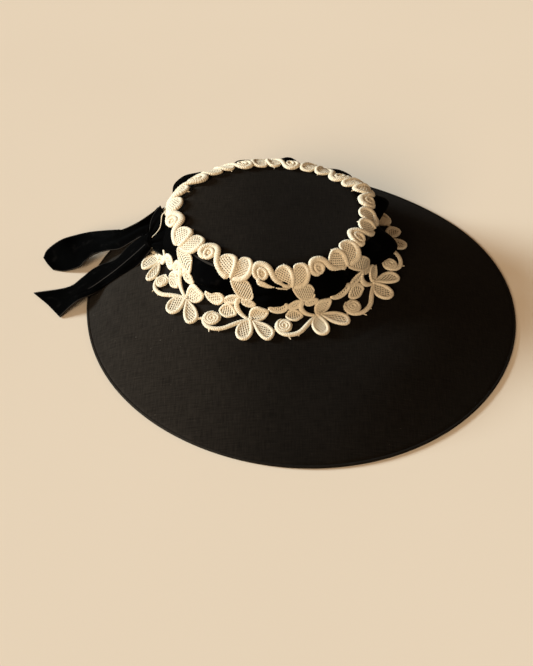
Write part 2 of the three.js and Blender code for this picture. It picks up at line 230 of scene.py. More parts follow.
def weave_group():
    """Plain weave of slubby yarn: a shade to multiply the colour with, and a height."""
    tree, place, out = group_tree("plain_weave")
    apart = node(tree, "ShaderNodeSeparateXYZ", {0: place})
    yarns = []
    waves = []
    for way, stretch in enumerate(((YARN_STRETCH, 1.0, 0.0), (1.0, YARN_STRETCH, 0.0))):
        drawn = node(tree, "ShaderNodeVectorMath", {0: place, 1: stretch}, operation="MULTIPLY")
        yarns.append(noise_node(tree, drawn.outputs[0], 1.0, 2.0))
        turned = math_node(tree, "MULTIPLY", apart.outputs[way], 2 * math.pi / YARN_PITCH)
        waves.append(math_node(tree, "SINE", turned))
    crossing = math_node(tree, "MULTIPLY", *waves)
    both = math_node(tree, "ADD", *yarns)
    cloud = noise_node(tree, place, 0.02, 3.0)
    slub = math_node(tree, "MULTIPLY_ADD", both, *SLUB_SHADE)
    cloudy = math_node(tree, "MULTIPLY_ADD", cloud, CLOUD_SHADE, slub)
    shade = math_node(tree, "MULTIPLY_ADD", crossing, CROSSING_SHADE, cloudy)
    height = math_node(tree, "MULTIPLY_ADD", crossing, CROSSING_HEIGHT, both)
    tree.links.new(shade, out.inputs["Shade"])
    tree.links.new(height, out.inputs["Height"])
    return tree


def bare_material(name):
    """New material, with its node tree and its shader."""
    material = bpy.data.materials.new(name)
    material.use_nodes = True
    return material, material.node_tree, material.node_tree.nodes["Principled BSDF"]


def set_finish(skin, values):
    """Values of a shader that are the same all over."""
    for label, value in values.items():
        skin.inputs[label].default_value = value


def link_bump(tree, skin, height, strength, distance):
    """Fine relief of a shader."""
    bump = node(tree, "ShaderNodeBump", {"Height": height, "Strength": strength, "Distance": distance})
    tree.links.new(bump.outputs[0], skin.inputs["Normal"])


def cloth_material(name, colour, roughness):
    """Matte black woven cloth with a few pale specks of lint, and painted light: paler towards the key
    light.
    """
    material, tree, skin = bare_material(name)
    chart = node(tree, "ShaderNodeUVMap", uv_map="chart").outputs[0]
    weave = node(tree, "ShaderNodeGroup", node_tree=plain_weave)
    tree.links.new(chart, weave.inputs["Place"])
    tinted = scale_node(tree, colour, weave.outputs["Shade"])
    speck = math_node(tree, "GREATER_THAN", noise_node(tree, chart, 0.4, 2.0), LINT_LEVEL)
    lint = mix_node(tree, speck, tinted, LINT_COLOUR)
    # Painted light: the colour is made paler towards the side of the key light.
    where = node(tree, "ShaderNodeTexCoord").outputs["Object"]
    sideways = node(tree, "ShaderNodeVectorMath", {0: where, 1: PAINTED_LIGHT_SIDE}, operation="DOT_PRODUCT")
    painted_light = node(tree, "ShaderNodeMapRange", {"Value": sideways.outputs["Value"], "From Max": PAINTED_LIGHT_REACH,
                                              "To Min": PAINTED_LIGHT_SHADES[0], "To Max": PAINTED_LIGHT_SHADES[1]},
                 interpolation_type="SMOOTHSTEP")
    tree.links.new(scale_node(tree, lint, painted_light.outputs[0]), skin.inputs["Base Color"])
    link_bump(tree, skin, weave.outputs["Height"], strength=0.35, distance=0.0004)
    set_finish(skin, {"Roughness": roughness, "Specular IOR Level": 0.025, "Sheen Weight": 0.01,
                      "Sheen Roughness": 0.5, "Sheen Tint": CLOTH_TINT})
    return material


def crown_piece():
    """Closed shell: the outer face from the tip down to the foot, and the inner face back up."""
    flat_r = CROWN_WALL_R - CROWN_ROUND
    tip = np.array([(r, CROWN_TOP_Z) for r in np.linspace(TIP_HOLE_R, flat_r, TIP_RINGS)])
    turn = np.radians(np.linspace(ROUND_FIRST, 0, ROUND_RINGS))
    facing = np.stack([np.cos(turn), np.sin(turn)], 1)
    rounding = (flat_r, CROWN_SHOULDER_Z) + CROWN_ROUND * facing
    foot = (crown_radius(CROWN_FOOT_Z), CROWN_FOOT_Z)
    wall = np.linspace((CROWN_WALL_R, CROWN_SHOULDER_Z), foot, WALL_RINGS + 1)[1:]
    outer = np.vstack([tip, rounding, wall])
    outward = np.vstack([np.tile((0, 1), (TIP_RINGS, 1)), facing, np.tile((1, 0), (WALL_RINGS, 1))])
    inner = (outer - outward * CLOTH)[::-1]
    inner[:, 0] = np.maximum(inner[:, 0], TIP_HOLE_R)
    section = np.vstack([outer, inner])
    a = np.linspace(0, 2 * math.pi, CROWN_SPOKES)
    r = section[:, :1]
    z = section[:, 1:]
    on_tip = np.clip(1 - r / TIP_DENT_R, 0, 1) * (z > CROWN_TOP_Z - TIP_DEEP)
    sway = (TIP_SWAY_TWO * np.sin(2 * a + 1) + TIP_SWAY_THREE * np.cos(3 * a)) * r
    z = z + on_tip * (sway - TIP_DENT * (1 - r / TIP_DENT_R))
    points = oval(around(r, a, z))
    round_side = chart_places(a * CROWN_CHART_R, run_lengths(section)[:, None])
    is_tip = np.arange(len(section)) <= TIP_RINGS
    flat = np.where(is_tip[:, None, None], on_grain(points), round_side)
    quads = grid_quads(len(section), CROWN_SPOKES)
    return quad_piece("crown_cloth", points, quads[:, ::-1], flat)


plain_weave = weave_group()
hat_cloth = cloth_material("hat_cloth", CLOTH_COLOUR, roughness=0.9)
crown = crown_piece()
crown.data.materials.append(hat_cloth)
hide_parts("crown")


# Brim: a wide shallow cone of the same cloth, doubled over a foundation and sewn to the crown's foot.
# It is wide at the front and narrow at the back, and rises and falls a little on its way round.
BRIM_EDGE_Z = 3.0
BRIM_BOW = 3.0
BRIM_WAVE = 1.2
BRIM_SPOKES = 240
BRIM_RINGS = 48
BRIM_TUCK = 0.5
ROLL_WIDTH = 2.6
ROLL_LAP = 0.6
TABLE_GAP = 0.2
BEND_START = (47.0, -159.0)
BEND_ACROSS = (0.428, -0.905)
BEND_WIDTH = 42.0
BEND_RISE = 5.0
BEND_FROM_Y = -100.0
BEND_EASE = 60.0
BEND_INNER_R = 140.0
# A ripple has its waves round the brim and outwards, where it starts, and its height.
BRIM_RIPPLES = [(7, 5, 0, 0.35), (4, -6, 1, 0.5)]
# A sway has the angle of its middle, its spread in degrees, and how far the edge stands out there.
RIM_SWAYS = [(250, 30, 2.8), (2, 24, -5.0), (146, 15, 3.2)]


def all_round(count):
    """Even angles all the way round."""
    return np.linspace(0, 2 * math.pi, count, endpoint=False)


def turned_off(angle, middle):
    """Angle from a middle given in degrees, between -180 and 180 degrees."""
    return (np.degrees(angle) - middle + 180) % 360 - 180


def brim_top(angle, r):
    """Height of the brim's upper face."""
    t = (r - CROWN_FOOT_R) / (reach(angle, BRIM_RADIUS - BINDING_WIDTH) - CROWN_FOOT_R)
    hump = 4 * t * (1 - t) * (BRIM_BOW + BRIM_WAVE * np.sin(3 * angle + 0.6))
    return BRIM_FOOT_Z + (BRIM_EDGE_Z - BRIM_FOOT_Z) * t + hump


def rim_sway(angle):
    """How far the brim's edge stands out from its circle: a worn brim is a little uneven."""
    return sum(out * np.exp(-(turned_off(angle, middle) / spread) ** 2)
               for middle, spread, out in RIM_SWAYS)


def brim_piece():
    """Closed shell: the upper face from the crown out to the edge, and the lower face back in."""
    angles = all_round(BRIM_SPOKES)
    share = np.linspace(0, 1, BRIM_RINGS)[:, None]
    mid_brim = np.sin(math.pi * share)
    inner_r = CROWN_FOOT_R + BRIM_TUCK
    edge_radius = BRIM_RADIUS - ROLL_WIDTH + ROLL_LAP
    even_r = inner_r + (reach(angles, edge_radius) - inner_r) * share
    r = inner_r + (reach(angles, edge_radius + rim_sway(angles)) - inner_r) * share
    x = r * np.cos(angles)
    y = r * np.sin(angles)
    ripple = sum(tall * np.sin(turns * angles + outward * share + start)
                 for turns, outward, start, tall in BRIM_RIPPLES)
    from_bend = (x - BEND_START[0]) * BEND_ACROSS[0] + (y - BEND_START[1]) * BEND_ACROSS[1]
    ahead = np.clip((BEND_FROM_Y - y) / BEND_EASE, 0, 1) * np.clip(mid_brim, 0, 1) ** 0.8
    bend = BEND_RISE * np.exp(-(from_bend / BEND_WIDTH) ** 2) * ahead * (r > BEND_INNER_R)
    top = brim_top(angles, even_r) + ripple * mid_brim ** 2 + bend
    upper = np.stack([x, y, top], 2)
    lower = np.stack([x, y, np.maximum(top - CLOTH, TABLE_GAP)], 2)[::-1]
    points = oval(np.vstack([upper, lower]))
    quads = grid_quads(2 * BRIM_RINGS, BRIM_SPOKES, round_columns=True, round_rows=True)
    return quad_piece("brim_cloth", points, quads[:, ::-1], on_grain(points))


brim = brim_piece()
brim.data.materials.append(hat_cloth)
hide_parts("brim")


# Edge: a bias strip of the cloth, rolled round a wire at the brim's outer edge and slip-stitched along its
# inner side. The hat lies on it.
EDGE_HEIGHT = 2.5
EDGE_COLOUR = (0.0088, 0.0076, 0.0064)
EDGE_SPOKES = 360
EDGE_SIDES = 18
EDGE_CHART_R = 200.0
ROLL_SQUARE = (0.75, 0.8)
# A wave has its number round the edge, where it starts, and its height.
EDGE_WAVES = [(23, 0, 0.12), (41, 2, 0.1)]


def edge_piece():
    """Roll of squarish section all the way round."""
    angles = all_round(EDGE_SPOKES)
    turn = all_round(EDGE_SIDES)
    uneven = sum(tall * np.sin(waves * angles + start) for waves, start, tall in EDGE_WAVES)[:, None]
    across = ROLL_WIDTH / 2 * np.sign(np.cos(turn)) * np.abs(np.cos(turn)) ** ROLL_SQUARE[0]
    rise = EDGE_HEIGHT / 2 * np.sign(np.sin(turn)) * np.abs(np.sin(turn)) ** ROLL_SQUARE[1]
    middle_r = reach(angles, BRIM_RADIUS + rim_sway(angles) - ROLL_WIDTH / 2)[:, None]
    r = middle_r + across * (1 + 0.05 * uneven)
    z = EDGE_HEIGHT / 2 + rise * (1 + 0.04 * uneven)
    a = angles[:, None]
    points = around(r, a, np.clip(z, 0, None))
    along = a * EDGE_CHART_R
    flat = chart_places(along + across, along - across)
    quads = grid_quads(EDGE_SPOKES, EDGE_SIDES, round_columns=True, round_rows=True)
    return quad_piece("edge_roll", points, quads[:, ::-1], flat)


edge = edge_piece()
edge.data.materials.append(cloth_material("edge_cloth", EDGE_COLOUR, roughness=0.85))
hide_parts("edge_binding")


# Ribbon band: black velvet ribbon round the crown's side. It goes behind the drop petals of the lace,
# which hold it, and puffs out in the windows between them. Narrow selvedges run along its edges.
REPEATS = 10
REPEAT_ANGLE = 2 * math.pi / REPEATS
LACE_START = math.radians(43.9)
BAND_TOP_Z = 72.0
BAND_FOOT_Z = 40.5
BAND_HELD = 0.7
BAND_THICK = 1.2
BAND_SPOKES = 480
BAND_ROWS = 30
BAND_CHART_R = 90.0
BAND_CLEAR = 0.4
CREASE_DEPTH = 2.3
CREASE_START = 0.2
CREASE_CLIMB = 0.55
CREASE_STRAY = 0.12
CREASE_WIDTH = 0.06
RIDGE_SHARE = 0.6
RIDGE_OFF = 0.16
RIDGE_WIDTH = 0.09
# A window has its start and end in repeats of the lace, its depth, and the height of its belly.
BAND_WINDOWS = [(-0.25, 0.45, 18.5, 66), (0.45, 1.2, 16, 66), (1.2, 2.4, 22.5, 65), (2.4, 2.75, 3, 55),
                (2.75, 3.81, 6, 55), (3.81, 4.78, 8, 57), (4.78, 5.69, 9.5, 51), (5.69, 6.64, 11, 56),
                (6.64, 6.9, 1.5, 56), (6.9, 7.72, 23, 60), (7.72, 7.95, 4, 58), (7.95, 8.6, 21, 64),
                (8.6, 9.75, 18, 65)]
RIBBON_WIDTH = 38.0
SELVEDGE_WIDTH = 0.9
SELVEDGE_COLOUR = (0.028, 0.025, 0.022, 1.0)
VELVET_COLOUR = (0.0004, 0.00037, 0.00036)
VELVET_TINT = (0.9, 0.86, 0.84, 1.0)
# Painted sheen glints: the span of the noise where the pile is made paler, and how much paler.
CRUSHED_GLINT_RANGE = (0.56, 0.8)
PAINTED_GLINT_SHADE = 7.0


def velvet_material():
    """Deep black silk pile, paler on its selvedges and in patches of flattened pile, painted as sheen
    glints.
    """
    material, tree, skin = bare_material("velvet")
    chart = node(tree, "ShaderNodeUVMap", uv_map="chart").outputs[0]
    brushed = noise_node(tree, chart, 0.09, 2.0)
    shade = math_node(tree, "MULTIPLY_ADD", brushed, 1.1, 0.3)
    # Painted highlight: patches of flattened pile are made several times paler, as sheen glints.
    crushed_glints = node(tree, "ShaderNodeMapRange", {"Value": brushed, "From Min": CRUSHED_GLINT_RANGE[0],
                                                "From Max": CRUSHED_GLINT_RANGE[1], "To Max": PAINTED_GLINT_SHADE},
                   interpolation_type="SMOOTHSTEP")
    pile_tone_and_glints = math_node(tree, "ADD", shade, crushed_glints.outputs[0])
    tinted = scale_node(tree, VELVET_COLOUR, pile_tone_and_glints)
    across = node(tree, "ShaderNodeSeparateXYZ", {0: chart}).outputs[1]
    from_middle = math_node(tree, "ABSOLUTE", math_node(tree, "SUBTRACT", across, RIBBON_WIDTH / 2))
    selvedge = math_node(tree, "GREATER_THAN", from_middle, RIBBON_WIDTH / 2 - SELVEDGE_WIDTH)
    tree.links.new(mix_node(tree, selvedge, tinted, SELVEDGE_COLOUR), skin.inputs["Base Color"])
    link_bump(tree, skin, noise_node(tree, chart, 1.6, 3.0), strength=0.3, distance=0.0004)
    set_finish(skin, {"Roughness": 0.8, "Specular IOR Level": 0.01, "Sheen Weight": 0.0015,
                      "Sheen Roughness": 0.3, "Sheen Tint": VELVET_TINT})
    return material


def band_piece():
    """Closed ribbon all the way round, puffed out in each window and creased across it."""
    angles = all_round(BAND_SPOKES)[:, None]
    z = np.linspace(BAND_FOOT_Z, BAND_TOP_Z, BAND_ROWS)[None, :]
    turn = (angles - LACE_START) / REPEAT_ANGLE
    turn = np.where(turn < BAND_WINDOWS[0][0], turn + REPEATS, turn)
    starts, ends, puffs, bellies = np.array(BAND_WINDOWS).T
    window = np.searchsorted(starts, turn, side="right") - 1
    across = (turn - starts[window]) / (ends - starts)[window]
    swell = np.sin(math.pi * across) ** 1.4
    rise = (z - BAND_FOOT_Z) / (BAND_TOP_Z - BAND_FOOT_Z)
    peak = (bellies[window] - BAND_FOOT_Z) / (BAND_TOP_Z - BAND_FOOT_Z)
    warped = np.where(rise < peak, 0.5 * rise / peak, 1 - 0.5 * (1 - rise) / (1 - peak))
    belly = np.clip(np.sin(math.pi * warped), 0, 1) ** 0.8
    fold = rise - CREASE_START - CREASE_CLIMB * across - CREASE_STRAY * np.sin(window * 2.4)
    ridge = np.exp(-((fold - RIDGE_OFF) / RIDGE_WIDTH) ** 2)
    crease = np.exp(-(fold / CREASE_WIDTH) ** 2) - RIDGE_SHARE * ridge
    folds = 0.6 * np.sin(61 * angles + 3 * rise) * (1 - swell) + 0.3 * np.sin(37 * angles - 5 * rise)
    wall = crown_radius(z)
    r = wall + BAND_HELD + puffs[window] * swell * belly + np.clip(folds, -0.3, 1) * belly
    r = np.maximum(r - CREASE_DEPTH * crease * swell * belly, wall + BAND_CLEAR)
    radii = np.concatenate([r + BAND_THICK, r[:, ::-1]], 1)
    points = oval(around(radii, angles, np.concatenate([z, z[:, ::-1]], 1)))
    width = np.concatenate([rise, rise[:, ::-1]], 1) * RIBBON_WIDTH
    flat = chart_places(angles * BAND_CHART_R, width)
    quads = grid_quads(BAND_SPOKES, 2 * BAND_ROWS, round_columns=True, round_rows=True)
    return quad_piece("ribbon_band_velvet", points, quads[:, ::-1], flat)


velvet = velvet_material()
band = band_piece()
band.data.materials.append(velvet)
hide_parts("ribbon_band")


# Lace: cream corded lace in ten repeats, laid over the ribbon and tacked to crown and brim. Satin-stitched
# cords edge its leaves, petals and scrolls, and a coarse net of threads fills them.
# A chart place has u, the share of a repeat along the band, and s, millimetres down from its upper edge.
LACE_LIFT = 1.2
# The band's section at the crown: radius and height.
LACE_SECTION = [(60, 79.4), (69.5, 79.4), (75, 79.3), (80.5, 78), (86, 74.2), (89.8, 68.2), (92.4, 60.5),
                (94.8, 50), (98, 42.8)]
LACE_BRIM_RADII = (103, 112, 121, 130, 140)
LAY_STEP = 4
LAY_FINE = 0.5
LAY_TOP = -9.5
LAY_END = 110.0
LAY_COUNT = 240
LAY_SPAN = 1.5
SLIP_FROM = 24.0
SLIP_EASE = 30.0
TUG_SPREAD = 0.3
PUSH_EASE = 14.0
PUSH_END = 48.0
# A slip has its place in repeats, and how far the upper part and the lower part go along and down there.
LACE_SLIPS = [
    (0.07, -0.1, -9, -0.1, 1), (0.55, -0.095, -8, -0.1, 1),
    (1.07, -0.09, -6, -0.1, 2), (1.55, -0.13, -3, -0.1, 3),
    (2.07, -0.17, -0.6, -0.05, 4), (2.55, -0.08, 1.5, 0.12, 4.5),
    (2.95, 0, 2.3, 0.22, 4.8), (3.25, 0.04, 1, 0.15, 5.4), (3.55, 0.075, -2, 0.085, 6),
    (4.07, 0.045, -1, 0.07, 10), (4.55, 0.076, -0.1, 0.035, 8.9),
    (5.07, 0, 4.5, 0, 9.7), (5.55, -0.01, 6.4, -0.06, 9.3),
    (6.07, -0.089, 6, -0.1, 8.7), (6.55, -0.08, 2.5, -0.105, 8),
    (7.07, -0.1, -0.3, -0.05, 6.5), (7.55, -0.07, 0.5, -0.05, 5.5),
    (8.07, -0.044, 1.2, -0.05, 8.5), (8.55, -0.11, -2, -0.07, 9),
    (9.07, -0.187, -5, -0.1, 5), (9.55, -0.14, -7.5, -0.1, 1.5)]
# A tug has its u and s, its spread down the band, and how far it takes a petal along and down.
PETAL_TUGS = [(3.72, 33, 7, -0.1, -7), (6.74, 38, 12, 0.14, 0)]
BRIDE_REPEAT = 5
LOOSE_THREAD = [(-83.8, 57.4, 75.9), (-85.6, 58.2, 74.6), (-87.4, 58.6, 72.9), (-89.2, 57.2, 70.9),
                (-91.6, 54.4, 67.9), (-94.4, 52.6, 64.3), (-97.6, 54.6, 58.8), (-100.6, 57.8, 53.5),
                (-101.8, 58, 51)]
# A push has its angle and spread in degrees, and how far the lace stands out and up there.
LACE_PUSHES = [(128, 26, 4, 0), (290, 10, 3, 0), (347, 15, 7, 2.5)]
THREAD_ROWS = 30
THREAD_SIDES = 7
THREAD_RADII = (0.6, 0.3)
EASE_STEPS = 12
CHART_PITCH = 60.0
CORD_SIDES = 9
CORD_STEP = 1.15
CORD_ARCH = 0.5
CORD_TIP = 0.12
CORD_LOW = 0.45
STRIP_FOOT = 0.45
STITCH_STEP = 0.21
STITCH_PITCH = 1.4
STITCH_SLANT = 0.25
# Painted shade in the grooves between the stitches.
STITCH_PAINTED_SHADE = 0.14
NET_STEP = 2.2
NET_SHORTEST = 1.2
NET_RING = 64
NET_SIDES = 3
NET_SINK = 0.45
NET_TALL = 0.55
CROSS_TURN = 80
CROSS_PITCH = 1.12
CROSS_DROP = 0.12
LACE_TONES = ((0.86, 0.775, 0.61, 1), (0.78, 0.665, 0.485, 1))
LACE_TINT = (1.0, 0.95, 0.85, 1.0)
LACE_SEED = 4
STRAY_ALONG = 0.01
STRAY_DOWN = 0.7
WOBBLE_ALONG = 0.006
WOBBLE_DOWN = 0.5
WOBBLE_START = 6.28
THREAD_SHIFT = 37.3
OPEN_NET = {"thread": 1.3, "pitch": 1.95, "cross": 0.4, "rim": 1.6}
FLOWER_NET = {"thread": 1.25, "pitch": 2.05}


def eased(points, count):
    """Places along a smooth curve through the points, evenly shared out by length, and its length."""
    p = np.asarray(points, float)
    p = np.vstack([2 * p[0] - p[1], p, 2 * p[-1] - p[-2]])
    t = np.linspace(0, 1, EASE_STEPS, endpoint=False)[:, None]
    spans = []
    for a, b, c, d in zip(p, p[1:], p[2:], p[3:]):
        bent = (2 * a - 5 * b + 4 * c - d) * t ** 2 + (3 * b - a - 3 * c + d) * t ** 3
        spans.append(0.5 * (2 * b + (c - a) * t + bent))
    curve = np.vstack(spans + [p[-2][None]])
    length = run_lengths(curve)
    even = np.linspace(0, length[-1], count)
    return np.stack([np.interp(even, length, column) for column in curve.T], 1), length[-1]


class Lay:
    """Surface that the lace lies on, tabled over the angle and the distance down the band."""
    downs = np.arange(LAY_TOP, LAY_END, LAY_FINE)

    def __init__(self):
        rows = []
        for angle in np.radians(np.arange(0, 361, LAY_STEP)):
            brim_points = [(r, float(brim_top(angle, r)) + LACE_LIFT) for r in LACE_BRIM_RADII]
            section, length = eased(LACE_SECTION + brim_points, LAY_COUNT)
            place = np.linspace(0, length, LAY_COUNT) + LAY_TOP
            rows.append([np.interp(self.downs, place, column) for column in section.T])
        self.table = np.array(rows)

    def find(self, angle, s):
        """Radius and height of the surface."""
        turn = np.degrees(angle) % 360 / LAY_STEP
        i = np.minimum(turn.astype(int), 360 // LAY_STEP - 1)
        down = np.clip((s - LAY_TOP) / LAY_FINE, 0, len(self.downs) - 2.001)
        j = down.astype(int)
        f = turn - i
        g = down - j

        def between(row):
            return self.table[i, :, row].T * (1 - f) + self.table[i + 1, :, row].T * f

        return between(j) * (1 - g) + between(j + 1) * g

    def slip(self, u, s):
        """Chart places moved as the lace is tacked down a little unevenly round the hat."""
        knots = np.array(LACE_SLIPS).T
        upper_u, upper_s, lower_u, lower_s = (
            np.interp(u % REPEATS, knots[0], moved, period=REPEATS) for moved in knots[1:])
        low = np.clip((s - SLIP_FROM) / SLIP_EASE, 0, 1)
        u_to = u + upper_u + (lower_u - upper_u) * low
        s_to = s + upper_s + (lower_s - upper_s) * low
        for u_tug, s_tug, s_spread, along, down in PETAL_TUGS:
            tug = np.exp(-((u - u_tug) / TUG_SPREAD) ** 2 - ((s - s_tug) / s_spread) ** 2)
            u_to = u_to + along * tug
            s_to = s_to + down * tug
        return u_to, s_to

    def place(self, u, s, lift):
        """Places in millimetres of chart places that stand lift off the band's back."""
        u, s = self.slip(u, s)
        angle = LACE_START + u * REPEAT_ANGLE
        r, z = self.find(angle, s)
        r_to, z_to = self.find(angle, s + LAY_SPAN)
        r_from, z_from = self.find(angle, s - LAY_SPAN)
        along = np.hypot(r_to - r_from, z_to - z_from)
        r = r - (z_to - z_from) / along * lift
        z = z + (r_to - r_from) / along * lift
        held_off = np.clip(s / PUSH_EASE, 0, 1) * np.clip((PUSH_END - s) / PUSH_EASE, 0, 1)
        for middle, spread, out, up in LACE_PUSHES:
            pushed = np.exp(-(turned_off(angle, middle) / spread) ** 2) * held_off
            r = r + out * pushed
            z = z + up * pushed
        return oval(around(r, angle, z))

    def pitch(self, s):
        """Length of a repeat at that distance down, at the front of the hat."""
        s = np.atleast_1d(np.asarray(s, float))
        return self.find(np.full(len(s), 1.5 * math.pi), s)[0] * REPEAT_ANGLE


lay = Lay()


class Chart:
    """One repeat of the lace as chart places with lifts, faces and thread places."""

    def __init__(self):
        self.places = []
        self.quads = []
        self.threads = []
        self.count = 0

    def strip(self, u, s, width, base, height, sides, arch):
        """Raised strip along chart places."""
        step = lay.pitch(s)
        du = np.gradient(u) * step
        ds = np.gradient(s)
        n = np.hypot(du, ds)
        turn = np.linspace(-arch, math.pi + arch, sides)
        across = np.cos(turn)[None, :] * width[:, None] / 2
        lift = base[:, None] + height[:, None] * (STRIP_FOOT + (1 - STRIP_FOOT) * np.sin(turn))
        uu = u[:, None] - across * (ds / n / step)[:, None]
        ss = s[:, None] + across * (du / n)[:, None]
        along = np.concatenate([[0], np.cumsum(n[1:])])
        self.places.append(np.stack([uu, ss, lift], 2).reshape(-1, 3))
        self.threads.append(chart_places(along[:, None], across).reshape(-1, 2))
        self.quads.append(grid_quads(len(u), sides) + self.count)
        self.count += lift.size

    def cord(self, path, widths, height=2.3, base=0.1, loop=False, blunt=True):
        """Satin-stitched cord through chart places."""
        path = list(path)
        if loop:
            path = path + path[:2]
        flat = np.array(path, float) * (CHART_PITCH, 1)
        _, length = eased(flat, 2)
        count = max(4, round(length / CORD_STEP))
        curve, _ = eased(flat, count + 1)
        share = np.linspace(0, 1, count + 1)
        width = np.interp(share, np.linspace(0, 1, len(widths)), widths)
        if blunt and not loop:
            end = np.minimum(share, 1 - share) * length
            width = width * np.sqrt(np.clip(end / (0.5 * width), CORD_TIP, 1))
        tall = height * np.clip(width / max(widths), CORD_LOW, 1) ** 0.6
        stitch = np.where(np.arange(count + 1) % 2, 1, -1)
        width = width + STITCH_STEP * stitch
        tall = tall + 0.5 * STITCH_STEP * stitch
        u = curve[:, 0] / CHART_PITCH
        self.strip(u, curve[:, 1], width, base + 0 * share, tall, CORD_SIDES, CORD_ARCH)

    def net(self, outline, slant, thread=1.2, pitch=1.8, cross=0.95, rim=2.1, dish=0.6):
        """Threads that fill an outline: broad ones one way, thin ones across them."""
        scale = float(lay.pitch(np.mean([s for u, s in outline]))[0])
        ring, _ = eased(np.array(list(outline) + list(outline[:1]), float) * (scale, 1), NET_RING)
        broad = (slant, thread, pitch, 0.0)
        thin = (slant + CROSS_TURN, cross, pitch * CROSS_PITCH, CROSS_DROP)
        for angle, width, gap, drop in (broad, thin):
            c = math.cos(math.radians(angle))
            k = math.sin(math.radians(angle))
            x = ring[:, 0] * c + ring[:, 1] * k
            y = ring[:, 1] * c - ring[:, 0] * k
            middle = (y.min() + y.max()) / 2
            half = (y.max() - y.min()) / 2
            for row in np.arange(y.min() + gap * 0.6, y.max() - gap * 0.3, gap):
                above = y > row
                hit = np.nonzero(above[:-1] != above[1:])[0]
                past = (row - y[hit]) / (y[hit + 1] - y[hit])
                ends = np.sort(x[hit] + past * (x[hit + 1] - x[hit]))
                for x0, x1 in zip(ends[::2], ends[1::2]):
                    if x1 - x0 < NET_SHORTEST:
                        continue
                    count = max(3, round((x1 - x0) / NET_STEP) + 1)
                    t = np.linspace(-1, 1, count)
                    xs = (x0 + x1) / 2 + t * (x1 - x0) / 2
                    hollow = (1 - t ** 2) * (1 - ((row - middle) / half) ** 2)
                    base = rim - dish * hollow - drop - NET_SINK
                    u = (xs * c - row * k) / scale
                    s = xs * k + row * c
                    tall = np.full(count, NET_TALL)
                    self.strip(u, s, np.full(count, width), base, tall, NET_SIDES, 0.0)


def coil(u, s, first, last, start, turns, count):
    """Chart places of a flat spiral."""
    scale = float(lay.pitch(s)[0])
    turn = np.linspace(0, 1, count)
    angle = math.radians(start) + turn * turns * 2 * math.pi
    radius = first + (last - first) * turn
    return [(u + r * math.cos(a) / scale, s + r * math.sin(a)) for r, a in zip(radius, angle)]


